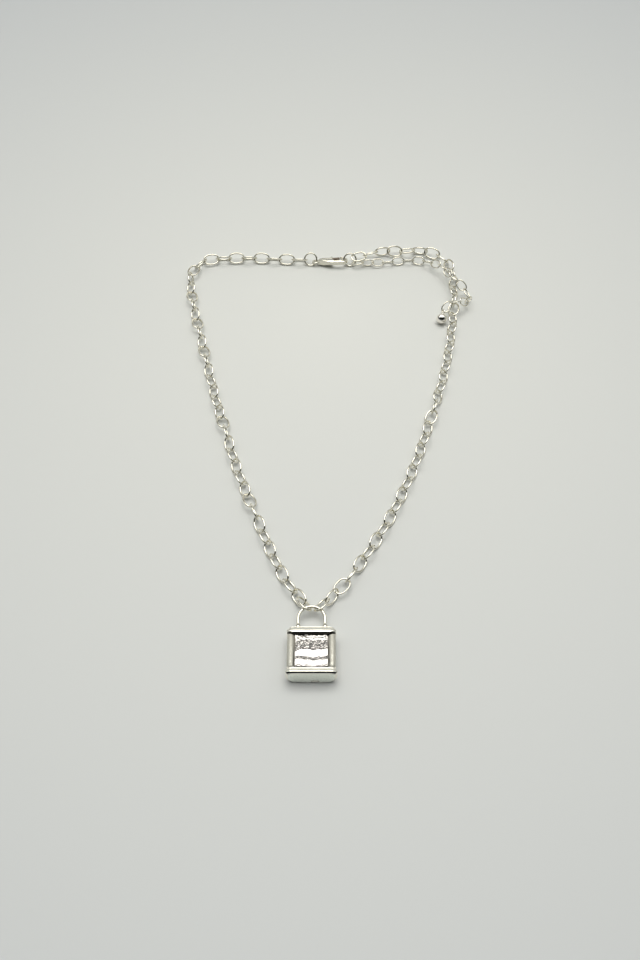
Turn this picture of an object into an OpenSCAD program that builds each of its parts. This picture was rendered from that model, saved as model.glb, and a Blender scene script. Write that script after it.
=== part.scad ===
// Silver padlock necklace lying on a flat surface.
// Millimetres. X to the right, Y away from the wearer's lock end, Z up from the surface at Z = 0.
// The lock lies on its back, both chains start on its shackle and close at a lobster clasp.
// The short extender chain hangs on the right clasp ring and ends in a small drop.

/* [Lock case] */
// Width of the case across its pillars
case_w = 14.1; // [13:0.1:16]
// Width of the upper flange
top_flange_w = 14.6; // [14.4:0.1:16.4]
// Width of the lower flange
low_flange_w = 15; // [14.8:0.1:16.8]
// Height of the case from its end face to the top of the upper flange
case_h = 15.3; // [14:0.1:18]
// Thickness of the flanges from the flat back to the front
case_t = 6.3; // [6:0.1:7]
// Height of each flange
flange_h = 2.4; // [2.2:0.1:3]
// Corner radius of the flanges, seen from the end face
flange_r = 1.7; // [1.5:0.1:2]
// Depth of the case front behind the front of the flanges
front_step = 0.3; // [0.2:0.05:0.5]
// Width of the hammered panel between the pillars
panel_w = 9.8; // [8:0.1:10.4]
// Depth of the hammered panel behind the front of the pillars
panel_step = 0.35; // [0.2:0.05:0.6]

/* [Shackle] */
// Width of the shackle over its legs
shackle_w = 9; // [8:0.1:10]
// Diameter of the shackle's wire
shackle_d = 1; // [0.8:0.05:1.2]
// Reach of the shackle above the upper flange
shackle_h = 8.6; // [8:0.1:10]
// Diameter of the collar at the foot of each leg
collar_d = 1.5; // [1.3:0.05:1.8]
// Length of the collars
collar_h = 2.4; // [1.5:0.1:3]

/* [Chain] */
// Number of links of each side between the shackle's link and the clasp ring
side_links = 41; // [41:1:41]
// Diameter of the link's wire
wire_d = 0.65; // [0.5:0.01:0.7]
// Outer width of a link
link_w = 4.55; // [4.3:0.05:4.8]
// Length that a link is longer inside than the spacing of the links
link_play = 0.27; // [0.2:0.01:0.3]

/* [Extender] */
// Number of links of the extender chain
extender_links = 18; // [18:1:18]
// Diameter of the extender's wire
extender_wire_d = 0.5; // [0.4:0.01:0.55]
// Outer width of an extender link
extender_link_w = 3.5; // [3.2:0.05:3.8]
// Length that an extender link is longer inside than the spacing of its links
extender_play = 0.24; // [0.2:0.01:0.3]
// Diameter of the drop at the extender's end
drop_d = 3.2; // [2.8:0.1:3.6]

/* [Clasp] */
// Outer diameter of the two clasp rings
ring_d = 5.45; // [5.3:0.05:5.6]
// Diameter of the rings' wire
ring_wire_d = 0.65; // [0.5:0.01:0.7]
// Distance from the eye's centre to the front end of the claw
clasp_l = 12.7; // [12.5:0.05:12.9]
// Width of the claw
clasp_w = 4.7; // [4.6:0.05:4.8]
// Greatest thickness of the clasp
clasp_t = 2.5; // [2.3:0.1:2.7]

/* [Hidden] */

silver = "#d8d6ce";
bright_silver = "#e6e4dd";

// The layout is drawn round a point inside the loop, and moved so that its footprint is centred
lay_shift = [-3.02, -21.17, 0];

// Lock, in its own frame: X across, Y from the end face to the shackle, Z up from the flat back
lock_place = [-2.5, -73.4, 0];
// How far the rounded section would reach below the flat back
back_trim = 0.25;
pillar_w = (case_w - panel_w) / 2;
front_z = case_t - front_step;
panel_z = front_z - panel_step;
// Moulding of each flange: [height above its lower side, depth behind its widest line]
top_moulding = [
    [0, 0.4],
    [0.3, 0.08],
    [0.7, 0],
    [1.1, 0.05],
    [1.5, 0.22],
    [1.9, 0.5],
    [2.2, 0.8],
    [2.4, 1.1]
];
low_moulding = [
    [0, 0.2],
    [0.15, 0.02],
    [0.45, 0],
    [0.8, 0.12],
    [1.15, 0.4],
    [1.45, 0.5],
    [1.6, 0.34],
    [1.85, 0.26],
    [2.1, 0.3],
    [2.3, 0.45],
    [2.4, 0.6]
];
// Dimples of the hammered panel
dimple_r = 3;
dimple_depth = 0.12;
dimple_cols = 5;
dimple_rows = 5;
// Place of a dimple in its cell, in even and odd rows, and how far every second column is set up
dimple_place = [0.3, 0.7];
dimple_stagger = 0.1;
// Oval plug in the end face
plug_at = [1.1, 1.1];
plug_w = 2.4;
plug_t = 1.2;
plug_depth = 0.25;
// How far a cutting shape reaches past what it cuts
cut_over = 1;

// Shackle
shackle_z = case_t / 2;
arch_r = (shackle_w - shackle_d) / 2;
arch_y = case_h + shackle_h - shackle_w / 2;
leg_seat = 2;
fit_gap = 0.05;

// Chains: pivots between the links follow these routes, and each link leans 45 degrees to one side
lean = 45;
end_stations = 6;
wire_sides = 5;
route_steps = 12;
// Numbers of the straight links that the spacing is taken from
straight_link = 20;
extender_straight_link = 5;
left_route = [
    [-4.9, -48.2],
    [-8.6, -42.9],
    [-11.6, -38],
    [-15.7, -28.7],
    [-19.5, -18.9],
    [-23.2, -9.2],
    [-27.4, 2.5],
    [-30.2, 11.5],
    [-32.6, 20.3],
    [-35.4, 29.4],
    [-37.9, 38.8],
    [-40.3, 48.5],
    [-42.7, 58.5],
    [-45.2, 68.9],
    [-47.8, 79.7],
    [-49.7, 90],
    [-50.6, 97.9],
    [-49, 103.6],
    [-44.7, 108.1],
    [-34.7, 109.1],
    [-24.4, 109.3],
    [-14.2, 108.5],
    [-5.68, 108.17]
];
right_route = [
    [2.1, -48.3],
    [4.8, -44.8],
    [7.8, -41],
    [13.2, -32.9],
    [18.2, -24.4],
    [23, -15.6],
    [27.1, -6.6],
    [31, 2.9],
    [34.4, 12.5],
    [37.6, 22.5],
    [40.8, 32.8],
    [43.8, 43.1],
    [46.2, 53],
    [48.3, 63.2],
    [49.9, 73.4],
    [51.2, 83.5],
    [51.9, 93.4],
    [51.7, 102.4],
    [48.9, 109.6],
    [43, 112.8],
    [34.3, 113.6],
    [24.1, 112.3],
    [13.06, 108.18]
];
// Turn of the links about the chain, added along it: [number of the link, angle]
left_twist = [
    [7, 0],
    [10, 90],
    [14, 90],
    [17, 180],
    [21, 180],
    [24, 270],
    [27, 360],
    [30, 450],
    [33, 526],
    [39, 540],
    [41, 542]
];
right_twist = [
    [0, -90],
    [4, 0],
    [16, 0],
    [19, 90],
    [27, 90],
    [30, 180],
    [35, 180],
    [38, 272],
    [41, 392]
];
extender_twist = [
    [1, 62],
    [4, 0]
];
// Extra height of the pivots: [number of the pivot, height]
left_lift = [
    [0, 0.6],
    [1, 0.1],
    [2, 0],
    [39, 0],
    [41, 0.23]
];
right_lift = [
    [0, 0.6],
    [1, 0.1],
    [2, 0],
    [38, 0],
    [40, 1.17],
    [41, 1.85]
];
// The links that pass round the shackle: near end on the arch, direction and turn
left_hook_angle = 105;
left_hook_dir = [-0.53, 0.85, -0.15];
left_hook_turn = 45;
right_hook_angle = 62;
right_hook_dir = [0.58, 0.81, -0.15];
right_hook_turn = 135;
hook_clear = 1.14;

extender_route = [
    [12.88, 106.89, 1.21],
    [18.3, 106.18, 2.05],
    [23.1, 107, 1.5],
    [27.8, 107.4, 1.4],
    [32.7, 108.2, 1.4],
    [37.5, 108.4, 1.45],
    [41.8, 107.2, 1.9],
    [45.1, 104.3, 3.4],
    [48.25, 100.38, 4.84],
    [49.44, 96.91, 5.04],
    [52.58, 92.42, 5.2],
    [56.17, 89.12, 2.86],
    [57.18, 85.99, 1.99],
    [56.57, 82.76, 2.81],
    [52.74, 80.53, 5.35],
    [49.31, 79.91, 5.15],
    [46.57, 77.49, 3.34]
];

// Drop at the extender's end
drop_loop_r = 0.75;
drop_wire_d = 0.45;
drop_reach = 3.6;
// Room between the drop's loop and the last link, and width of the neck where it meets the ball
drop_clear = 0.1;
drop_neck_share = 0.8;
drop_dir = [-0.22, -0.86, -0.53];
drop_turn = 52;

// Clasp rings
ring_r = (ring_d - ring_wire_d) / 2;
left_ring_at = [-3.7, 108.3];
left_ring_tilt = 45;
right_ring_at = [11.9, 107.95];
right_ring_tilt = 49;

// Clasp, in its own frame: X from the eye to the claw, Y towards the lever, Z the pin's direction
clasp_at = [-1.65, 107.65, 1.33];
clasp_roll = 15.6;
clasp_pitch = 2.85;
eye_r = 1.2;
eye_wire_r = 0.4;
neck_x = 1.1;
neck_w = 1.5;
claw_r = clasp_w / 2;
claw_x = clasp_l - claw_r;
hollow_r = 1.45;
hollow_x = [8, 10.5];
shell_x = 5.6;
shell_r = 2.2;
// Radii of the rounding across and along the clasp
round_across = 4;
round_along = 30;
// Angle at which the shell's round turns towards the neck
shoulder = 130;
// Lever, its pin and the slot that holds its root
pivot = [5.7, 1.25];
pin_r = 0.32;
pin_gap = 0.04;
lever_t = 0.9;
lever_gap = 0.1;
lever_root_r = 0.75;
lever_tip = [9.1, 2.05];
lever_tip_r = 0.42;
tab_at = [6.2, 3];
tab_r = 0.4;
// Two points of the tab's root, from the pivot
tab_root = [[0.3, 0.3], [1.4, 0.5]];
slot_x = [4.6, 7.6];
slot_y = [0.1, 4];
gate_x = [6.9, 9.65];
gate_y = [1.1, 4];

// Geometry shared by the chains

function unit(v) = v / norm(v);

// Point at share t of the smooth curve between b and c
function curve(a, b, c, d, t) =
    (2 * b + (c - a) * t + (2 * a - 5 * b + 4 * c - d) * t * t + (3 * b - 3 * c + d - a) * t * t * t) / 2;

// A route made smooth
function smooth(p) =
    let (last = len(p) - 1)
    concat(
        [for (i = [0:last - 1], s = [0:route_steps - 1])
            curve(p[max(i - 1, 0)], p[i], p[i + 1], p[min(i + 2, last)], s / route_steps)],
        [p[last]]
    );

function next_step(p, i) = i + 1 < len(p) ? norm(p[i + 1] - p[i]) : 0;

// Distance of each point along the curve
function distances(p) = [for (i = 0, s = 0; i < len(p); s = s + next_step(p, i), i = i + 1) s];

// The curve cut into a number of equal stretches
function even(p, count) =
    let (q = smooth(p), s = distances(q), far = s[len(s) - 1])
    [for (i = [0:count])
        [for (k = [0:len(p[0]) - 1])
            lookup(i * far / count, [for (j = [0:len(q) - 1]) [s[j], q[j][k]]])]];

// Directions of a link: along it, across it in its own plane, and square to that plane
function link_frame(dir, turn) =
    let (
        along = unit(dir),
        side = unit(cross(along, [0, 0, 1])),
        up = cross(side, along),
        square = cos(turn) * up + sin(turn) * side
    )
    [along, cross(square, along), square];

// Turn of link i about the chain
function link_turn(i, twist) = (i % 2 == 0 ? lean : -lean) + lookup(i, twist);

// Height of a link's middle above the surface when it leans by its turn
function rest_z(turn, width, wire) = wire / 2 + (width - wire) / 2 * abs(sin(turn));

// Pivots of a side chain, with their heights
function side_pivots(route, twist, lift) =
    let (flat = even(route, side_links))
    [for (i = [0:side_links])
        let (
            before = rest_z(link_turn(max(i, 1), twist), link_w, wire_d),
            after = rest_z(link_turn(min(i + 1, side_links), twist), link_w, wire_d)
        )
        [flat[i].x, flat[i].y, max(before, after) + lookup(i, lift)]];

// Points of one link's wire: stations round the oval, and a small polygon at each
function link_points(centre, dir, turn, length, width, wire, stations) =
    let (
        frame = link_frame(dir, turn),
        r = (width - wire) / 2,
        straight = (length - width) / 2,
        step = 180 / stations
    )
    [for (end = [0, 1], k = [0:stations], j = [0:wire_sides - 1])
        let (
            a = end * 180 - 90 + k * step,
            out = cos(a) * frame[0] + sin(a) * frame[1],
            b = 360 * j / wire_sides
        )
        centre + (1 - 2 * end) * straight * frame[0]
            + out * (r + wire / 2 * cos(b)) + frame[2] * wire / 2 * sin(b)];

function link_faces(stations) =
    let (rings = 2 * (stations + 1))
    [for (k = [0:rings - 1], j = [0:wire_sides - 1])
        let (m = (k + 1) % rings, n = (j + 1) % wire_sides)
        [k * wire_sides + j, k * wire_sides + n, m * wire_sides + n, m * wire_sides + j]];

module link(centre, dir, turn, length, width, wire, stations) {
    polyhedron(link_points(centre, dir, turn, length, width, wire, stations), link_faces(stations));
}

// One side's chain: the link on the shackle, then the links along the route
module side_chain(route, twist, lift, hook_angle, hook_dir, hook_turn) {
    pivots = side_pivots(route, twist, lift);
    pitch = norm(pivots[straight_link] - pivots[straight_link - 1]);
    length = pitch + link_play + 2 * wire_d;
    for (i = [1:side_links])
        link(
            (pivots[i - 1] + pivots[i]) / 2,
            pivots[i] - pivots[i - 1],
            link_turn(i, twist),
            length,
            link_w,
            wire_d,
            end_stations
        );
    near_r = arch_r - hook_clear;
    near = lock_place + [near_r * cos(hook_angle), arch_y + near_r * sin(hook_angle), shackle_z];
    link(near + unit(hook_dir) * (length - wire_d) / 2, hook_dir, hook_turn, length, link_w, wire_d, end_stations);
}

// A jump ring that leans on the surface, turned about X by its tilt
module clasp_ring(at, tilt) {
    translate([at.x, at.y, ring_wire_d / 2 + ring_r * sin(tilt)])
        rotate([tilt, 0, 0])
            rotate_extrude($fn = 48)
                translate([ring_r, 0])
                    circle(d = ring_wire_d, $fn = 24);
}

// Points of an arc
function arc(centre, r, from, to, steps) =
    [for (i = [0:steps]) let (a = from + (to - from) * i / steps) centre + r * [cos(a), sin(a)]];

// Lock case

// A slab with a rounded outline and a moulded edge, from z = 0 up
module moulded_slab(width, depth, radius, moulding) {
    top = moulding[len(moulding) - 1][0];
    edge = concat([[0, 0]], [for (m = moulding) [radius - m[1], m[0]]], [[0, top]]);
    long = width - 2 * radius;
    wide = depth - 2 * radius;
    translate([-long / 2, -wide / 2, 0])
        cube([long, wide, top]);
    for (sx = [-1, 1], sy = [-1, 1])
        translate([sx * long / 2, sy * wide / 2, 0])
            rotate([0, 0, (sx < 0 ? (sy < 0 ? 180 : 90) : (sy < 0 ? 270 : 0))])
                rotate_extrude(angle = 90, $fn = 48)
                    polygon(edge);
    for (s = [0, 180]) {
        rotate([0, 0, s])
            translate([long / 2, wide / 2, 0])
                rotate([90, 0, 0])
                    linear_extrude(wide)
                        polygon(edge);
        rotate([0, 0, s])
            translate([-long / 2, wide / 2, 0])
                rotate([90, 0, 90])
                    linear_extrude(long)
                        polygon(edge);
    }
}

// Section of the case between the flanges, seen from the end face
module case_section() {
    bevel = pillar_w / 2;
    half = case_w / 2;
    translate([-half + bevel, -back_trim])
        square([case_w - 2 * bevel, panel_z + back_trim]);
    for (s = [-1, 1])
        translate([s * (half - bevel), 0])
            polygon(concat(
                arc([0, front_z - bevel], bevel, 0, 180, 12),
                arc([0, bevel - back_trim], bevel, 180, 360, 12)
            ));
}

module dimples() {
    pitch_x = panel_w / dimple_cols;
    pitch_y = (case_h - 2 * flange_h) / dimple_rows;
    for (i = [0:dimple_cols - 1], j = [0:dimple_rows - 1])
        let (place = dimple_place[j % 2])
            translate([
                -panel_w / 2 + pitch_x * (i + place),
                flange_h + pitch_y * (j + 0.5 + dimple_stagger * (i % 2)),
                panel_z + dimple_r - dimple_depth
            ])
                sphere(r = dimple_r, $fn = 48);
}

module lock_case() {
    color(bright_silver)
        translate(lay_shift + lock_place)
            difference() {
                union() {
                    translate([0, flange_h / 2, 0])
                        rotate([90, 0, 180])
                            translate([0, 0, -flange_h / 2])
                                linear_extrude(case_h - flange_h)
                                    case_section();
                    translate([0, 0, (case_t - back_trim) / 2])
                        rotate([-90, 0, 0])
                            moulded_slab(low_flange_w, case_t + back_trim, flange_r, low_moulding);
                    translate([0, case_h - flange_h, (case_t - back_trim) / 2])
                        rotate([-90, 0, 0])
                            moulded_slab(top_flange_w, case_t + back_trim, flange_r, top_moulding);
                }
                dimples();
                translate([-case_w, -cut_over, -2 * back_trim])
                    cube([2 * case_w, case_h + 2 * cut_over, 2 * back_trim]);
                for (s = [-1, 1])
                    translate([s * arch_r, case_h + cut_over, shackle_z])
                        rotate([90, 0, 0])
                            cylinder(h = leg_seat + cut_over + fit_gap, r = shackle_d / 2 + fit_gap, $fn = 32);
                translate([plug_at.x, -cut_over, plug_at.y])
                    rotate([-90, 0, 0])
                        linear_extrude(plug_depth + cut_over)
                            polygon([for (a = [0:20:340]) [plug_w / 2 * cos(a), plug_t / 2 * sin(a)]]);
            }
}

module lock_shackle() {
    color(silver)
        translate(lay_shift + lock_place + [0, 0, shackle_z]) {
            translate([0, arch_y, 0])
                rotate_extrude(angle = 180, $fn = 64)
                    translate([arch_r, 0])
                        circle(d = shackle_d, $fn = 32);
            for (s = [-1, 1]) {
                translate([s * arch_r, arch_y, 0])
                    rotate([90, 0, 0])
                        cylinder(h = arch_y - case_h + leg_seat, d = shackle_d, $fn = 32);
                translate([s * arch_r, case_h + collar_h, 0])
                    rotate([90, 0, 0])
                        cylinder(h = collar_h - fit_gap, d = collar_d, $fn = 32);
            }
        }
}

// Chains

module chain_left() {
    color(silver)
        translate(lay_shift)
            side_chain(left_route, left_twist, left_lift, left_hook_angle, left_hook_dir, left_hook_turn);
}

module chain_right() {
    color(silver)
        translate(lay_shift)
            side_chain(right_route, right_twist, right_lift, right_hook_angle, right_hook_dir, right_hook_turn);
}

module extender_chain() {
    pivots = even(extender_route, extender_links);
    pitch = norm(pivots[extender_straight_link] - pivots[extender_straight_link - 1]);
    color(silver)
        translate(lay_shift)
            for (i = [1:extender_links])
                link(
                    (pivots[i - 1] + pivots[i]) / 2,
                    pivots[i] - pivots[i - 1],
                    -link_turn(i, extender_twist),
                    pitch + extender_play + 2 * extender_wire_d,
                    extender_link_w,
                    extender_wire_d,
                    end_stations - 1
                );
}

// Drop: a ball drawn out to a neck, with a wire loop that the last link passes through
module extender_drop() {
    last = extender_route[len(extender_route) - 1];
    along = unit(drop_dir);
    neck = drop_loop_r + drop_wire_d / 2;
    r = drop_d / 2;
    color(bright_silver)
        translate(lay_shift + last + along * (drop_loop_r - extender_wire_d / 2 - drop_clear))
            rotate([0, 0, atan2(along.y, along.x)])
                rotate([0, -asin(along.z), 0])
                    rotate([drop_turn, 0, 0]) {
                        rotate_extrude($fn = 32)
                            translate([drop_loop_r, 0])
                                circle(d = drop_wire_d, $fn = 16);
                        translate([neck + drop_reach - r, 0, 0])
                            sphere(r = r, $fn = 48);
                        translate([drop_loop_r, 0, 0])
                            rotate([0, 90, 0])
                                cylinder(h = drop_reach - r, r1 = drop_wire_d, r2 = r * drop_neck_share, $fn = 32);
                    }
}

// Clasp rings

module ring_left() {
    color(silver)
        translate(lay_shift)
            clasp_ring(left_ring_at, left_ring_tilt);
}

module ring_right() {
    color(silver)
        translate(lay_shift)
            clasp_ring(right_ring_at, right_ring_tilt);
}

// Clasp

module clasp_pose() {
    translate(lay_shift + clasp_at)
        rotate([0, -clasp_pitch, 0])
            rotate([-clasp_roll, 0, 0])
                children();
}

// Solid between two crossed pairs of large rounds, thickest in the middle of the clasp
module clasp_cushion() {
    intersection() {
        crossed_rounds(1);
        crossed_rounds(-1);
    }
}

module crossed_rounds(side) {
    intersection() {
        translate([-clasp_w, 0, side * (clasp_t / 2 - round_across)])
            rotate([0, 90, 0])
                cylinder(h = clasp_l + 2 * clasp_w, r = round_across, $fn = 96);
        translate([shell_x, 2 * clasp_w, side * (clasp_t / 2 - round_along)])
            rotate([90, 0, 0])
                cylinder(h = 4 * clasp_w, r = round_along, $fn = 180);
    }
}

module clasp_body() {
    outline = concat(
        [[neck_x, -neck_w / 2]],
        arc([shell_x, 0], shell_r, -shoulder, -90, 6),
        arc([claw_x, 0], claw_r, -90, 90, 18),
        arc([shell_x, 0], shell_r, 90, shoulder, 6),
        [[neck_x, neck_w / 2]]
    );
    color(silver)
        clasp_pose() {
            difference() {
                union() {
                    intersection() {
                        translate([0, 0, -clasp_t])
                            linear_extrude(2 * clasp_t)
                                polygon(outline);
                        clasp_cushion();
                    }
                    rotate_extrude($fn = 48)
                        translate([eye_r, 0])
                            circle(r = eye_wire_r, $fn = 24);
                }
                translate([0, 0, -clasp_t])
                    linear_extrude(2 * clasp_t)
                        polygon(concat(
                            arc([hollow_x[1], 0], hollow_r, -90, 90, 14),
                            arc([hollow_x[0], 0], hollow_r, 90, 270, 14)
                        ));
                translate([gate_x[0], gate_y[0], -clasp_t])
                    cube([gate_x[1] - gate_x[0], gate_y[1] - gate_y[0], 2 * clasp_t]);
                translate([slot_x[0], slot_y[0], -lever_t / 2 - lever_gap])
                    cube([slot_x[1] - slot_x[0], slot_y[1] - slot_y[0], lever_t + 2 * lever_gap]);
            }
            translate([pivot.x, pivot.y, -lever_t / 2 - 2 * lever_gap])
                cylinder(h = lever_t + 4 * lever_gap, r = pin_r, $fn = 32);
        }
}

module clasp_lever() {
    color(bright_silver)
        clasp_pose()
            translate([0, 0, -lever_t / 2])
                linear_extrude(lever_t)
                    difference() {
                        union() {
                            polygon(concat(
                                arc(pivot, lever_root_r, 100, 285, 12),
                                arc(lever_tip, lever_tip_r, -75, 100, 8)
                            ));
                            polygon(concat(
                                [for (p = tab_root) pivot + p],
                                arc(tab_at, tab_r, 0, 170, 8)
                            ));
                        }
                        translate(pivot)
                            circle(r = pin_r + pin_gap, $fn = 32);
                    }
}

lock_case();
lock_shackle();
chain_left();
chain_right();
extender_chain();
extender_drop();
ring_left();
ring_right();
clasp_body();
clasp_lever();
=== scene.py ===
"""Silver padlock necklace lying on a plain pale surface, in soft studio light.

Lengths inside the shape functions are millimetres; make() turns them into metres.
"""

import math

import bmesh
import bpy
import numpy as np
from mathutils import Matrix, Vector


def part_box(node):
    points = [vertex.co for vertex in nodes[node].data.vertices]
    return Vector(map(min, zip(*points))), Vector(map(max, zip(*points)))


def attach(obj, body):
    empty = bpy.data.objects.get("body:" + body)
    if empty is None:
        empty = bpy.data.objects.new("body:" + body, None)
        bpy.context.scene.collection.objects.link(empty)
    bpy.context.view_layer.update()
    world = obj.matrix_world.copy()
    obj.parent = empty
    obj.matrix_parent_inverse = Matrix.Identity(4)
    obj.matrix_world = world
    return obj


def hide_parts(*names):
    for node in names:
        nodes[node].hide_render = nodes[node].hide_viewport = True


MM = 0.001
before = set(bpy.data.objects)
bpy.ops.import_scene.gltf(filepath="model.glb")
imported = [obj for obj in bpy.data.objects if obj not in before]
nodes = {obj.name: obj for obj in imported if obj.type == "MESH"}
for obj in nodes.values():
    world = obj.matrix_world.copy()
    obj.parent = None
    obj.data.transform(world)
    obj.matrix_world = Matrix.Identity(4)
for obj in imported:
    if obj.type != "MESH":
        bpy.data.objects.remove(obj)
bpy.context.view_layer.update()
rng = np.random.default_rng(7)


# Small helpers


def unit(v):
    """A direction with length 1."""
    v = np.asarray(v, float)
    return v / np.linalg.norm(v)


def make(name, verts, faces, body, materials, replaced=(), face_material=None, sharp=None):
    """A mesh object from points in millimetres that rides on a body and stands for CAD nodes."""
    me = bpy.data.meshes.new(name)
    me.from_pydata((np.asarray(verts, float) * MM).tolist(), [], faces)
    me.validate()
    ob = bpy.data.objects.new(name, me)
    bpy.context.scene.collection.objects.link(ob)
    for m in materials:
        me.materials.append(m)
    if face_material is not None:
        for p, k in zip(me.polygons, face_material):
            p.material_index = k
    for p in me.polygons:
        p.use_smooth = True
    if sharp:
        me.set_sharp_from_angle(angle=math.radians(sharp))
    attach(ob, body)
    if replaced:
        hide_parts(*replaced)
    return ob


def grid_faces(rows, cols, closed_rows=False, closed_cols=True):
    """Quads between neighbouring rows of points, each row with the same number of points."""
    faces = []
    for i in range(rows if closed_rows else rows - 1):
        for j in range(cols if closed_cols else cols - 1):
            a, b = i * cols, (i + 1) % rows * cols
            n = (j + 1) % cols
            faces.append((a + j, a + n, b + n, b + j))
    return faces


def loose_parts(node):
    """Points of each loose solid of a CAD node, in millimetres."""
    me = nodes[node].data
    co = np.array([v.co for v in me.vertices], float) / MM
    keys, index = np.unique(np.round(co, 4), axis=0, return_inverse=True)
    index = index.ravel()
    parent = list(range(len(keys)))

    def root(i):
        while parent[i] != i:
            parent[i] = parent[parent[i]]
            i = parent[i]
        return i

    for p in me.polygons:
        vs = [root(index[v]) for v in p.vertices]
        for v in vs[1:]:
            parent[root(v)] = root(vs[0])
    groups = {}
    for i in range(len(keys)):
        groups.setdefault(root(i), []).append(i)
    return [keys[g] for g in groups.values()]


def link_axes(points):
    """Middle of a link, its directions along, across and square to it, and its size along each."""
    middle = points.mean(0)
    axes = np.linalg.svd(points - middle)[2]
    spans = [np.ptp((points - middle) @ a) for a in axes]
    return middle, axes, spans


def oval_path(a, b, power, steps):
    """Middle line of an oval: points in its plane and the outward direction at each.

    A power of 2 gives an ellipse, and more makes it fuller towards its corners.
    """
    line = []
    for k in range(steps):
        t = 2 * math.pi * k / steps
        c, d = math.cos(t), math.sin(t)
        x = math.copysign(abs(c) ** (2 / power), c)
        y = math.copysign(abs(d) ** (2 / power), d)
        p = np.array([x, y])
        out = np.sign(p) * np.abs(p) ** (power - 1) / np.array([a, b])
        line.append((p * [a, b], unit(out)))
    return line


def wire_loop(centre, axes, half_length, half_width, wire, power, steps, sides):
    """Points and faces of a closed round wire bent to an oval in the plane of the first two axes."""
    along, across, square = axes
    verts = []
    for p, out in oval_path(half_length, half_width, power, steps):
        o = out[0] * along + out[1] * across
        at = centre + p[0] * along + p[1] * across
        for j in range(sides):
            b = 2 * math.pi * j / sides
            verts.append(at + wire / 2 * (math.cos(b) * o + math.sin(b) * square))
    return verts, grid_faces(steps, sides, closed_rows=True)


def chain(name, node, wire, power, steps, sides, material):
    """All links of a chain node as round wires, each set where the CAD link is."""
    verts, faces = [], []
    for points in loose_parts(node):
        middle, axes, spans = link_axes(points)
        half_length, half_width = (spans[0] - wire) / 2, (spans[1] - wire) / 2
        v, f = wire_loop(middle, axes, half_length, half_width, wire, power, steps, sides)
        faces += [tuple(i + len(verts) for i in q) for q in f]
        verts += v
    return make(name, verts, faces, "necklace", [material], [node])


def sweep(points, radii, sides):
    """A round tube through points, with a radius at each, closed by caps."""
    points = [np.asarray(p, float) for p in points]
    # A direction that no tube here starts along
    aside = [0.3, 0.2, 1.0]
    verts = []
    normal = None
    for i, p in enumerate(points):
        t = unit(points[min(i + 1, len(points) - 1)] - points[max(i - 1, 0)])
        if normal is None:
            normal = unit(np.cross(t, aside))
        normal = unit(normal - (normal @ t) * t)
        other = np.cross(t, normal)
        for j in range(sides):
            b = 2 * math.pi * j / sides
            verts.append(p + radii[i] * (math.cos(b) * normal + math.sin(b) * other))
    faces = grid_faces(len(points), sides)
    faces.append(tuple(range(sides)))
    faces.append(tuple(reversed(range((len(points) - 1) * sides, len(points) * sides))))
    return verts, faces


def smooth_profile(table, count):
    """A smooth curve through the points of a moulding table."""
    p = np.array(table, float)
    p = np.vstack([2 * p[0] - p[1], p, 2 * p[-1] - p[-2]])
    out = []
    spans = len(p) - 3
    for k in range(count):
        u = k / (count - 1) * spans
        i = min(int(u), spans - 1)
        t = u - i
        a, b, c, d = p[i : i + 4]
        square = 2 * a - 5 * b + 4 * c - d
        cube = 3 * b - 3 * c + d - a
        out.append((2 * b + (c - a) * t + square * t * t + cube * t**3) / 2)
    return out


# Materials


# Scale of the noise in the tone and in the gloss, a metre
TONE_SCALE = 260
MARK_SCALE = 2400
# How much warmer the silver gets at most
TONE_SHIFT = 0.04
# Least and greatest share of a material's roughness, and the part of the noise that they are spread over
GLOSS_SHARE = (0.7, 1.5)
GLOSS_NOISE = (0.3, 0.75)
# Height of the surface's slight wave
WAVE_HEIGHT = 0.05


def node_tree(material):
    """Nodes and links of a material."""
    material.use_nodes = True
    return material.node_tree.nodes, material.node_tree.links


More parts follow.
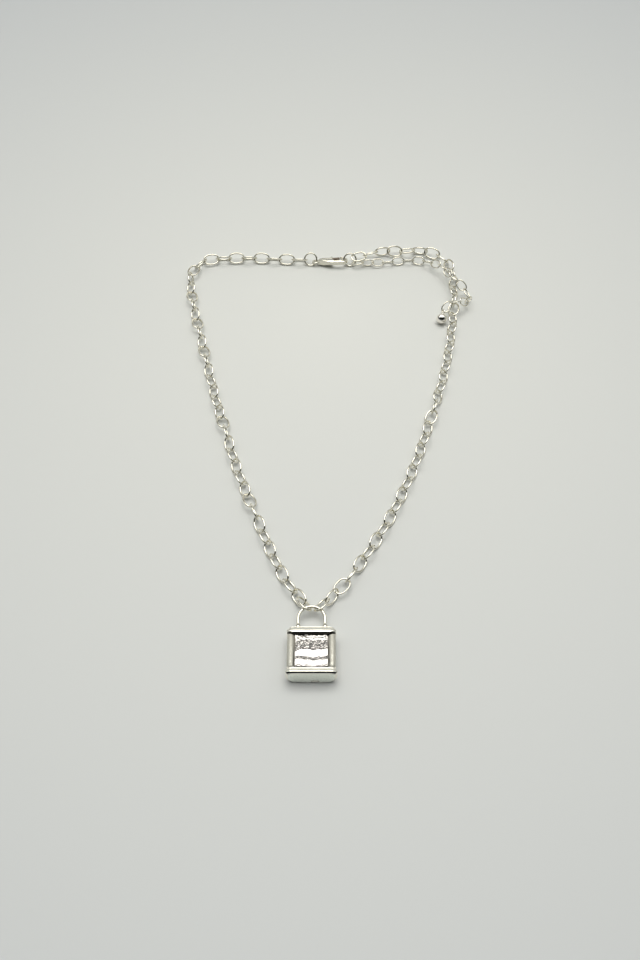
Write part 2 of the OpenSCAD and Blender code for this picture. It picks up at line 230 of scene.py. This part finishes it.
def silver(name, colour, roughness, bump, grain):
    """Plating with fine handling marks in its gloss, a slight wave and a faint change of tone."""
    m = bpy.data.materials.new(name)
    ns, links = node_tree(m)
    bsdf = ns["Principled BSDF"]
    bsdf.inputs["Metallic"].default_value = 1.0
    coords = ns.new("ShaderNodeTexCoord")
    # Tone
    patches = ns.new("ShaderNodeTexNoise")
    patches.inputs["Scale"].default_value = TONE_SCALE
    patches.inputs["Detail"].default_value = 3
    ramp = ns.new("ShaderNodeMix")
    ramp.data_type = "RGBA"
    warm = (colour[0], colour[1] * (1 - TONE_SHIFT * 0.5), colour[2] * (1 - TONE_SHIFT), 1)
    ramp.inputs["A"].default_value = (*colour, 1)
    ramp.inputs["B"].default_value = warm
    links.new(coords.outputs["Object"], patches.inputs["Vector"])
    links.new(patches.outputs["Fac"], ramp.inputs["Factor"])
    links.new(ramp.outputs["Result"], bsdf.inputs["Base Color"])
    # Gloss
    marks = ns.new("ShaderNodeTexNoise")
    marks.inputs["Scale"].default_value = MARK_SCALE
    marks.inputs["Detail"].default_value = 4
    spread = ns.new("ShaderNodeMapRange")
    spread.inputs["From Min"].default_value = GLOSS_NOISE[0]
    spread.inputs["From Max"].default_value = GLOSS_NOISE[1]
    spread.inputs["To Min"].default_value = roughness * GLOSS_SHARE[0]
    spread.inputs["To Max"].default_value = roughness * GLOSS_SHARE[1]
    links.new(coords.outputs["Object"], marks.inputs["Vector"])
    links.new(marks.outputs["Fac"], spread.inputs["Value"])
    links.new(spread.outputs["Result"], bsdf.inputs["Roughness"])
    # Wave
    wave = ns.new("ShaderNodeTexNoise")
    wave.inputs["Scale"].default_value = grain
    wave.inputs["Detail"].default_value = 2
    relief = ns.new("ShaderNodeBump")
    relief.inputs["Strength"].default_value = bump
    relief.inputs["Distance"].default_value = WAVE_HEIGHT * MM
    links.new(coords.outputs["Object"], wave.inputs["Vector"])
    links.new(wave.outputs["Fac"], relief.inputs["Height"])
    links.new(relief.outputs["Normal"], bsdf.inputs["Normal"])
    return m


# Name, colour, roughness, strength of the wave, scale of the wave
wire_silver = silver("plated_wire", (0.81, 0.79, 0.70), 0.06, 0.15, 900)
case_silver = silver("plated_casting", (0.91, 0.895, 0.82), 0.14, 0.4, 700)
pillar_silver = silver("brushed_pillar", (0.67, 0.66, 0.6), 0.58, 0.35, 1400)
# Paler, greener copy of the casting silver for the end face: a painted reflection of the lit floor in
# front of it
end_reflection_tint = silver("case_end_painted_reflection", (0.94, 0.985, 0.92), 0.3, 0.3, 700)
panel_silver = silver("hammered_panel", (0.52, 0.5, 0.485), 0.12, 0.9, 1700)
clasp_silver = silver("plated_clasp", (0.78, 0.76, 0.67), 0.16, 0.3, 900)
drop_silver = silver("polished_drop", (0.93, 0.91, 0.86), 0.05, 0.1, 600)
# Painted shade on the lever's bar, standing for the dark opening of the clasp
lever_shade = silver("lever_painted_shade", (0.26, 0.215, 0.17), 0.3, 0.3, 900)
# Painted shade in the groove under the top flange, along that flange's lower side and in the ring round
# the plug
groove = silver("groove_painted_shade", (0.09, 0.085, 0.075), 0.45, 0.6, 2500)


# Chains


LINK_WIRE = 0.66
EXTENDER_WIRE = 0.5
# Form of a link's oval, a little fuller than an ellipse
LINK_POWER = 2.25
RING_POWER = 2.0
# Steps along a wire and sides round it
LINK_MESH = (36, 18)
EXTENDER_MESH = (32, 16)
RING_MESH = (56, 18)
chain("left_links", "chain_left", LINK_WIRE, LINK_POWER, *LINK_MESH, wire_silver)
chain("right_links", "chain_right", LINK_WIRE, LINK_POWER, *LINK_MESH, wire_silver)
chain("extender_links", "extender_chain", EXTENDER_WIRE, LINK_POWER, *EXTENDER_MESH, wire_silver)
for side in ("left", "right"):
    middle, axes, spans = link_axes(loose_parts(f"ring_{side}")[0])
    radius = (spans[0] - spans[2]) / 2
    v, f = wire_loop(middle, axes, radius, radius, spans[2], RING_POWER, *RING_MESH)
    make(f"jump_ring_{side}", v, f, "necklace", [wire_silver], [f"ring_{side}"])


# Lock


CASE_W = 14.1
TOP_W = 14.6
LOW_W = 15.0
CASE_H = 15.3
CASE_T = 6.3
FLANGE_H = 2.4
# How far the rounded outline would reach below the flat back
BACK_TRIM = 0.25
PANEL_W = 9.8
FRONT_Z = 6.0
PANEL_Z = 5.65
# Edge of each flange: height above its lower side, depth behind its widest line
TOP_EDGE = [
    [0, 0.5],
    [0.1, 0.33],
    [0.22, 0.18],
    [0.38, 0.07],
    [0.56, 0.01],
    [0.75, 0],
    [1.15, 0.03],
    [1.5, 0.16],
    [1.9, 0.42],
    [2.2, 0.75],
    [2.4, 1.05],
]
LOW_EDGE = [
    [0, 0.85],
    [0.07, 0.64],
    [0.19, 0.43],
    [0.36, 0.23],
    [0.55, 0.08],
    [0.72, 0.01],
    [0.9, 0.01],
    [1.12, 0.06],
    [1.26, 0.2],
    [1.45, 0.22],
    [1.62, 0.27],
    [1.78, 0.33],
    [1.95, 0.33],
    [2.15, 0.39],
    [2.4, 0.47],
]
# Corner radii of the flanges across and through the case, at the front and at the back
FRONT_R = (2.6, 0.85)
BACK_R = (3.2, 3.1)
# Share of its height that the top flange loses at its ends, and how far in from the end this starts
END_TAPER = 0.55
TAPER_ZONE = 2.3
# Height of the strip of painted shade along the top flange's lower side
SHADE_EDGE_HEIGHT = 0.16
FLANGE_ROWS = 34
# How far the panel's bed lies below it, and how much smaller the middle's back corners are than a flange's
BED_DEPTH = 0.7
BACK_INSET = 0.2
CORNER_STEPS = 12
low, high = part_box("lock_case")
lock_origin = np.array([(low.x + high.x) / 2, low.y, 0]) / MM


def rounded_outline(width, inset):
    """Outline of a flange, seen from the end face, moved in by inset and cut flat at the back."""
    depth = CASE_T + BACK_TRIM
    middle_z = (CASE_T - BACK_TRIM) / 2
    out = []
    for sx, sz, start in ((1, 1, 0), (-1, 1, 90), (-1, -1, 180), (1, -1, 270)):
        full_x, full_z = FRONT_R if sz > 0 else BACK_R
        cx, rx = width / 2 - full_x, max(full_x - inset, 0.05)
        cz, rz = depth / 2 - full_z, max(full_z - inset, 0.05)
        for k in range(CORNER_STEPS + 1):
            a = math.radians(start + 90 * k / CORNER_STEPS)
            out.append((sx * cx + rx * math.cos(a), max(middle_z + sz * cz + rz * math.sin(a), 0)))
    return out


def at_end(x, width):
    """0 along most of a flange, rising to 1 at its two ends."""
    return np.clip((abs(x) - width / 2 + TAPER_ZONE) / TAPER_ZONE, 0, 1)


def flange(table, width, y0, taper=0, shade_height=0):
    """Moulded flange, thinner by the taper at its ends.

    Its lower side up to shade_height, and its lowest cap, have the second material: painted shade on the
    top flange, and the painted reflection on the low flange's end face.
    """
    verts = []
    rows = smooth_profile(table, FLANGE_ROWS)
    for h, d in rows:
        for x, z in rounded_outline(width, d):
            thin = 1 - taper * at_end(x, width) ** 2
            verts.append(lock_origin + [x, y0 + FLANGE_H / 2 + (h - FLANGE_H / 2) * thin, z])
    count = len(verts) // len(rows)
    faces = grid_faces(len(rows), count)
    kinds = [int(h < shade_height) for h, _ in rows[:-1] for _ in range(count)]
    faces.append(tuple(range(count)))
    kinds.append(1)
    faces.append(tuple(reversed(range(len(verts) - count, len(verts)))))
    kinds.append(0)
    faces = [tuple(reversed(f)) for f in faces]
    return verts, faces, kinds


def middle_section(inset):
    """Outline of the case between the flanges: two round pillars and the bed of the panel between them."""
    half, r = CASE_W / 2, (CASE_W - PANEL_W) / 4
    out = []
    for s in (1, -1):
        cx = s * (half - r)
        angles = range(-30, 181, 15) if s > 0 else range(0, 211, 15)
        for a in angles:
            t = math.radians(a)
            out.append((cx + (r - inset * 0.6) * math.cos(t), FRONT_Z - r - inset + r * math.sin(t)))
        if s > 0:
            bed = PANEL_Z - BED_DEPTH - inset
            edge = cx - r
            out += [(edge - 0.02, bed + 0.1), (edge - 0.1, bed)]
            out += [(0.1 - edge, bed), (0.02 - edge, bed + 0.1)]
    rx, rz = BACK_R[0] - BACK_INSET, BACK_R[1] - BACK_INSET
    for s, angles in ((-1, range(180, 271, 10)), (1, range(270, 361, 10))):
        for a in angles:
            t = math.radians(a)
            x = s * (half - rx) + (rx - inset * 0.5) * math.cos(t)
            out.append((x, max(rz + (rz + 0.1) * math.sin(t), 0)))
    return out


# Outlines of the case between the flanges: height, and how far each is moved in
STATIONS = [
    [1.0, 0.3],
    [2.3, 0.3],
    [2.42, 0.12],
    [2.6, 0.03],
    [2.8, 0.0],
    [12.45, 0.0],
    [12.56, 0.06],
    [12.66, 0.5],
    [12.95, 0.6],
    [14.6, 0.6],
]
# An outline moved in this far is in the groove under the top flange, and its faces get painted shade
SHADE_INSET = 0.5
# Outlines between these heights follow the thinner ends of the top flange
FOLLOW_Y = (12, 14)


def case_middle():
    """Case between the flanges, cut in to a groove under the top flange, whose ends it follows; the groove
    has painted shade.
    """
    verts = []
    for y, inset in STATIONS:
        for x, z in middle_section(inset):
            follow = 0
            if FOLLOW_Y[0] < y < FOLLOW_Y[1]:
                follow = END_TAPER * FLANGE_H / 2 * at_end(x, TOP_W) ** 2
            verts.append(lock_origin + [x, y + follow, z])
    count = len(verts) // len(STATIONS)
    faces = grid_faces(len(STATIONS), count)
    kinds = []
    for _, inset in STATIONS[1:]:
        kinds += [int(inset >= SHADE_INSET)] * count
    faces = [tuple(reversed(f)) for f in faces]
    return verts, faces, kinds


# Hammered panel up its middle: height up the case, slope of the surface there
PANEL_SLOPES = [
    [2.3, -0.14],
    [2.7, -0.14],
    [3.0, 0.05],
    [4.25, 0.08],
    [4.43, -0.1],
    [4.55, -0.27],
    [5.45, -0.27],
    [5.62, -0.1],
    [5.85, 0.08],
    [7.6, 0.08],
    [7.95, -0.19],
    [11.2, -0.2],
    [11.4, 0.03],
    [11.6, 0.03],
    [11.8, -0.13],
    [12.2, -0.13],
    [12.35, 0.03],
    [12.8, 0.05],
]
# Height up the case, strength of the small dents there
PANEL_DENTS = [
    [2.6, 1],
    [3.1, 0.8],
    [4.5, 0.8],
    [4.8, 1],
    [5.2, 1],
    [5.7, 0.35],
    [7.7, 0.35],
    [8.3, 1],
    [10.8, 1],
    [11.3, 0.9],
    [11.8, 1],
    [12.3, 1],
]
# Lowest and highest row of the panel, and how far its side edges are rounded in and down
PANEL_Y = (2.3, 12.82)
EDGE_ZONE = 0.3
EDGE_DROP = 0.12
# Two kinds of dents: how many, least and greatest size, greatest height
WIDE_DENTS = (260, (0.3, 0.7), 0.02)
SMALL_DENTS = (3000, (0.1, 0.18), 0.03)
RUN = np.linspace(1.0, 14.0, 600)
RISE = np.cumsum(np.interp(RUN, *np.transpose(PANEL_SLOPES))) * (RUN[1] - RUN[0])
RISE -= RISE.mean()


def bumps(xs, ys, count, size, height, weight):
    """A field of small round hills and dents; weight says how strong they are at each place."""
    field = np.zeros((len(ys), len(xs)))
    for _ in range(count):
        cx, cy = rng.uniform(xs[0], xs[-1]), rng.uniform(ys[0], ys[-1])
        rx, ry = rng.uniform(*size) * rng.uniform(0.8, 1.7), rng.uniform(*size)
        lift = rng.uniform(-height, height)
        cols = np.abs(xs - cx) < 3 * rx
        rows = np.abs(ys - cy) < 3 * ry
        gx, gy = np.meshgrid((xs[cols] - cx) / rx, (ys[rows] - cy) / ry)
        field[np.ix_(rows, cols)] += lift * weight(cx, cy) * np.exp(-(gx**2 + gy**2))
    return field


# Waves in which the bands of the panel run across it: height, frequency, phase
SWAY_WAVES = [[0.22, 0.75, 0.9], [0.1, 2.1, 0.5], [0.04, 5.3, 0]]
# How much further down the rough band reaches at the left edge, and how wide this part is
LEFT_REACH = 1.2
LEFT_WIDTH = 1.1
# Height from which on it does so, and over how much height this grows to full
LEFT_FROM = 5.6
LEFT_OVER = 2


def sway(x, y):
    """How far the bands of the panel run up or down across it."""
    side = math.exp(-(((x + PANEL_W / 2) / LEFT_WIDTH) ** 2))
    left = LEFT_REACH * side * np.clip((y - LEFT_FROM) / LEFT_OVER, 0, 1)
    return sum(height * math.sin(often * x + phase) for height, often, phase in SWAY_WAVES) + left


def dents_at(x, y):
    """Strength of the small dents at a place of the panel."""
    return float(np.interp(y + sway(x, y), *np.transpose(PANEL_DENTS)))


def panel():
    """Hammered panel: long uneven bands and two sizes of small dents."""
    cols, rows = 190, 200
    xs = np.linspace(-PANEL_W / 2 + 0.02, PANEL_W / 2 - 0.02, cols)
    ys = np.linspace(*PANEL_Y, rows)
    field = bumps(xs, ys, *WIDE_DENTS, lambda x, y: 0.5 + 0.5 * dents_at(x, y))
    field += bumps(xs, ys, *SMALL_DENTS, dents_at)
    verts = []
    for i, y in enumerate(ys):
        for j, x in enumerate(xs):
            edge = min(PANEL_W / 2 - abs(x), EDGE_ZONE) / EDGE_ZONE
            height = float(np.interp(y + sway(x, y), RUN, RISE))
            z = PANEL_Z + height + field[i, j] - EDGE_DROP * (1 - edge) ** 2
            verts.append(lock_origin + [x, y, z])
    return verts, [tuple(reversed(f)) for f in grid_faces(rows, cols, closed_cols=False)]


v, f, k = flange(TOP_EDGE, TOP_W, CASE_H - FLANGE_H, END_TAPER, SHADE_EDGE_HEIGHT)
make("lock_top_flange", v, f, "necklace", [case_silver, groove], [], k, 45)
v, f, k = flange(LOW_EDGE, LOW_W, 0)
# The low flange's end face gets the painted reflection
make("lock_low_flange", v, f, "necklace", [case_silver, end_reflection_tint], [], k, 45)
v, f, k = case_middle()
make("lock_case_middle", v, f, "necklace", [pillar_silver, groove], ["lock_case"], k, 50)
v, f = panel()
make("lock_hammered_panel", v, f, "necklace", [panel_silver])


# Plug in the end face: its middle and half its size, across and through the case
PLUG_AT = (1.1, 1.1)
PLUG_R = (1.2, 0.6)
# Rows of the plug from its ring of painted shade inwards: growth of its outline, place along the case
PLUG_ROWS = [[0.09, -0.004], [0.02, -0.004], [0.0, -0.004], [-0.05, -0.03], [-0.25, -0.045]]


def plug():
    """Oval plug in the end face, in a thin ring of painted shade."""
    verts = []
    steps = 40
    for grow, y in PLUG_ROWS:
        for j in range(steps):
            a = 2 * math.pi * j / steps
            x = PLUG_AT[0] + (PLUG_R[0] + grow) * math.cos(a)
            z = PLUG_AT[1] + (PLUG_R[1] + grow) * math.sin(a)
            verts.append(lock_origin + [x, y, z])
    faces = grid_faces(len(PLUG_ROWS), steps)
    kinds = [1] * (2 * steps) + [0] * (2 * steps)
    faces.append(tuple(range(4 * steps, 5 * steps)))
    kinds.append(0)
    return verts, faces, kinds


v, f, k = plug()
make("lock_plug", v, f, "necklace", [case_silver, groove], [], k)


SHACKLE_W = 9.0
SHACKLE_WIRE = 1.0
SHACKLE_REACH = 8.6
# How deep a leg sits in the case
FOOT_DEPTH = 1.8
# Collar at the foot of a leg: height above the case, radius
COLLAR = [
    [-0.6, 0.74],
    [-0.2, 0.75],
    [0.3, 0.76],
    [0.8, 0.76],
    [1.3, 0.75],
    [1.7, 0.72],
    [2.0, 0.65],
    [2.2, 0.57],
    [2.34, 0.5],
    [2.4, 0.46],
]


def shackle():
    """Bent wire of the shackle with a turned collar at each foot."""
    r_wire = SHACKLE_WIRE / 2
    r_arch = SHACKLE_W / 2 - r_wire
    z = CASE_T / 2
    arch_y = CASE_H + SHACKLE_REACH - SHACKLE_W / 2
    line = [[-r_arch, CASE_H - FOOT_DEPTH, z], [-r_arch, CASE_H + 1, z]]
    line += [[-r_arch, CASE_H + 1 + (arch_y - CASE_H - 1) * t, z] for t in (0.4, 0.8)]
    for k in range(41):
        a = math.radians(180 - 180 * k / 40)
        line.append([r_arch * math.cos(a), arch_y + r_arch * math.sin(a), z])
    line += [[-x, y, w] for x, y, w in reversed(line[:4])]
    verts, faces = sweep([lock_origin + p for p in line], [r_wire] * len(line), 24)
    for s in (-1, 1):
        points = [lock_origin + [s * r_arch, CASE_H + h, z] for h, _ in COLLAR]
        v2, f2 = sweep(points, [r for _, r in COLLAR], 32)
        faces += [tuple(i + len(verts) for i in q) for q in f2]
        verts += v2
    return verts, faces


v, f = shackle()
make("shackle", v, f, "necklace", [wire_silver], ["lock_shackle"], None, 40)


# Cast pieces: the CAD solid with its edges worn round


# How far a round of smoothing pulls a point to its neighbours, and pushes it back
SMOOTH = 0.5
REGAIN = 0.47


def cast_piece(name, node, body, materials, voxel, rounds, worn=0, second=None, shape=None):
    """The CAD solid with soft edges, changed by shape(points).

    The first worn rounds of smoothing wear the edges down, and the others keep the size.
    Faces where second(points) holds have the second material.
    """
    me = nodes[node].data.copy()
    bm = bmesh.new()
    bm.from_mesh(me)
    bmesh.ops.scale(bm, vec=(1 / MM,) * 3, verts=bm.verts)
    bmesh.ops.remove_doubles(bm, verts=bm.verts, dist=1e-4)
    bm.to_mesh(me)
    bm.free()
    tmp = bpy.data.objects.new("cast_tmp", me)
    bpy.context.scene.collection.objects.link(tmp)
    mod = tmp.modifiers.new("remesh", "REMESH")
    mod.mode = "VOXEL"
    mod.voxel_size = voxel
    mod.adaptivity = 0
    dg = bpy.context.evaluated_depsgraph_get()
    made = bpy.data.meshes.new_from_object(tmp.evaluated_get(dg))
    bpy.data.objects.remove(tmp)
    co = np.array([p.co for p in made.vertices], float).reshape(-1, 3)
    edges = np.array([e.vertices[:] for e in made.edges])
    share = np.bincount(edges.ravel(), minlength=len(co))[:, None]
    for k in range(rounds):
        for step in (SMOOTH, -REGAIN if k >= worn else 0):
            around = np.zeros_like(co)
            np.add.at(around, edges[:, 0], co[edges[:, 1]])
            np.add.at(around, edges[:, 1], co[edges[:, 0]])
            co = co + step * (around / np.maximum(share, 1) - co)
    if shape:
        co = shape(co)
    co[:, 2] = np.maximum(co[:, 2], 0)
    faces = [tuple(p.vertices) for p in made.polygons]
    bpy.data.meshes.remove(made)
    kinds = None
    if second:
        mids = np.array([co[list(f)].mean(0) for f in faces])
        kinds = [int(k) for k in second(mids)]
    return make(name, co, faces, body, materials, [node], kinds)


# Share of the lever's length that its thumb tab takes
TAB_SHARE = 0.42


def lever_bar(points):
    """The part of the lever inside the clasp's opening, past the thumb tab, which gets painted shade for
    the dark opening.
    """
    low, high = points.min(0), points.max(0)
    return points[:, 0] > low[0] + TAB_SHARE * (high[0] - low[0])


# The drop's ball: radius in the CAD, and growth
DROP_R = 1.6
BALL_GROWTH = 0.25
# The growth is full up to this far outside the ball, and ends at this distance from its middle
FULL_MARGIN = 0.1
NECK_END = 3.0


def fuller_ball(points):
    """The drop's ball grown on the surface that it rests on; its loop stays as it is."""
    foot = points[points[:, 2] < DROP_R / 4].mean(0)
    away = points - [foot[0], foot[1], DROP_R]
    t = np.clip((NECK_END - np.linalg.norm(away, axis=1)) / (NECK_END - DROP_R - FULL_MARGIN), 0, 1)
    share = (t * t * (3 - 2 * t))[:, None]
    return points + share * BALL_GROWTH * (away + [0, 0, DROP_R])


# After the slot: voxel size, rounds of smoothing, and how many of them wear the edges down
cast_piece("lobster_clasp", "clasp_body", "necklace", [clasp_silver], 0.08, 28, 12)
# The lever's bar past its thumb tab gets painted shade for the clasp's dark opening
lever_looks = [clasp_silver, lever_shade]
cast_piece("clasp_trigger", "clasp_lever", "lever", lever_looks, 0.06, 12, 5, lever_bar)
cast_piece("drop", "extender_drop", "necklace", [drop_silver], 0.07, 8, shape=fuller_ball)


# Surface, light and camera


# Half width of the surface in metres, and the shift and scale of the painted pool of light on it,
# brightest under the necklace
GROUND_HALF = 3.0
LIGHT_POOL_SHIFT = -0.2
LIGHT_POOL_SCALE = 3.33
# Colours of the painted pool of light: painted shade at its edge, and its lit middle
POOL_EDGE_SHADE_TONE = (0.575, 0.592, 0.608, 1)
POOL_LIT_TONE = (0.826, 0.828, 0.797, 1)
# Colours of the room: its near and far half, what is dark or grey in it, the lamp and the low wall
NEAR_HALF = (1.0, 1.16, 1.2, 1)
FAR_HALF = (1.05, 1.06, 1.0, 1)
DARK_SIDE = (0.015, 0.016, 0.017, 1)
DARK_END = (0.12, 0.12, 0.12, 1)
GREY_STRIP = (0.24, 0.24, 0.235, 1)
LAMP = (3.6, 3.56, 3.38, 1)
LOW_WALL = (0.46, 0.475, 0.466, 1)
# Camera, and the place that it looks at, in millimetres
CAMERA_AT = (-3.02, -219.77, 263.6)
LOOKS_AT = (-3.02, -21.17, 0)


def ground():
    """The pale surface with a painted pool of light, brightest under the necklace and darker towards its
    edges.
    """
    me = bpy.data.meshes.new("surface")
    r = GROUND_HALF
    me.from_pydata([(-r, -r, 0), (r, -r, 0), (r, r, 0), (-r, r, 0)], [], [(0, 1, 2, 3)])
    ob = bpy.data.objects.new("surface", me)
    bpy.context.scene.collection.objects.link(ob)
    m = bpy.data.materials.new("pale_sheet")
    ns, links = node_tree(m)
    bsdf = ns["Principled BSDF"]
    bsdf.inputs["Roughness"].default_value = 0.42
    bsdf.inputs["Specular IOR Level"].default_value = 0.25
    coords = ns.new("ShaderNodeTexCoord")
    place = ns.new("ShaderNodeMapping")
    place.vector_type = "POINT"
    place.inputs["Location"].default_value = (0, LIGHT_POOL_SHIFT, 0)
    place.inputs["Scale"].default_value = (LIGHT_POOL_SCALE,) * 3
    # Painted pool of light: a round falloff from the lit middle to the shaded edge
    ball = ns.new("ShaderNodeTexGradient")
    ball.gradient_type = "SPHERICAL"
    tone = ns.new("ShaderNodeMix")
    tone.data_type = "RGBA"
    tone.inputs["A"].default_value = POOL_EDGE_SHADE_TONE
    tone.inputs["B"].default_value = POOL_LIT_TONE
    links.new(coords.outputs["Object"], place.inputs["Vector"])
    links.new(place.outputs["Vector"], ball.inputs["Vector"])
    links.new(ball.outputs["Fac"], tone.inputs["Factor"])
    links.new(tone.outputs["Result"], bsdf.inputs["Base Color"])
    me.materials.append(m)


def studio():
    """A pale room: a narrow lamp overhead, dark near side and ends, and a low pale wall all round."""
    world = bpy.data.worlds.new("studio")
    bpy.context.scene.world = world
    world.use_nodes = True
    ns, links = world.node_tree.nodes, world.node_tree.links
    coords = ns.new("ShaderNodeTexCoord")

    def edge_of(direction, offset, soft):
        """1 on the far side of a plane through the scene, moved along its direction by offset."""
        dot = ns.new("ShaderNodeVectorMath")
        dot.operation = "DOT_PRODUCT"
        dot.inputs[1].default_value = unit(direction)
        links.new(coords.outputs["Generated"], dot.inputs[0])
        step = ns.new("ShaderNodeMapRange")
        step.interpolation_type = "SMOOTHSTEP"
        step.inputs["From Min"].default_value = offset - soft
        step.inputs["From Max"].default_value = offset + soft
        links.new(dot.outputs["Value"], step.inputs["Value"])
        return step.outputs["Result"]

    def both(*factors):
        """The product of factors."""
        out = factors[0]
        for f in factors[1:]:
            times = ns.new("ShaderNodeMath")
            times.operation = "MULTIPLY"
            links.new(out, times.inputs[0])
            links.new(f, times.inputs[1])
            out = times.outputs["Value"]
        return out

    def over(below, colour, factor):
        """A colour laid over what is below it, as far as factor says."""
        mix = ns.new("ShaderNodeMix")
        mix.data_type = "RGBA"
        if isinstance(below, tuple):
            mix.inputs["A"].default_value = below
        else:
            links.new(below, mix.inputs["A"])
        mix.inputs["B"].default_value = colour
        links.new(factor, mix.inputs["Factor"])
        return mix.outputs["Result"]

    def at(phi):
        """Direction at an angle: 0 at the near horizon, 90 overhead and 180 at the far one."""
        a = math.radians(phi)
        return (0.0, -math.cos(a), math.sin(a))

    def band(low, high, half, soft=0.03):
        """Part of the room between two angles over the table, half wide to each side."""
        sides = [edge_of((side, 0, 0), -half, soft) for side in (-1, 1)]
        return both(edge_of(at(low + 90), 0.0, soft), edge_of(at(high - 90), 0.0, soft), *sides)

    layer = over(NEAR_HALF, FAR_HALF, edge_of(at(180), 0.0, 0.2))
    layer = over(layer, DARK_SIDE, band(-10, 80, 0.97))
    for side in (-1, 1):
        layer = over(layer, DARK_END, edge_of((side, 0, 0), 0.82, 0.05))
    layer = over(layer, GREY_STRIP, band(129, 152, 0.9, 0.04))
    layer = over(layer, LAMP, band(80, 126, 0.34))
    layer = over(layer, LOW_WALL, edge_of((0, 0, -1), -0.205, 0.02))
    background = ns["Background"]
    links.new(layer, background.inputs["Color"])
    background.inputs["Strength"].default_value = 1.0


def view_from():
    """The camera at the photo's angle."""
    data = bpy.data.cameras.new("camera")
    ob = bpy.data.objects.new("camera", data)
    bpy.context.scene.collection.objects.link(ob)
    data.sensor_width = 36
    data.lens = 37.125
    data.clip_start = 0.01
    target = Vector(LOOKS_AT) * MM
    ob.location = Vector(CAMERA_AT) * MM
    ob.rotation_mode = "QUATERNION"
    ob.rotation_quaternion = (target - ob.location).to_track_quat("-Z", "Y")
    bpy.context.scene.camera = ob


ground()
studio()
view_from()
settings = bpy.context.scene.view_settings
settings.view_transform = "Standard"
settings.look = "None"
settings.exposure = 0.0
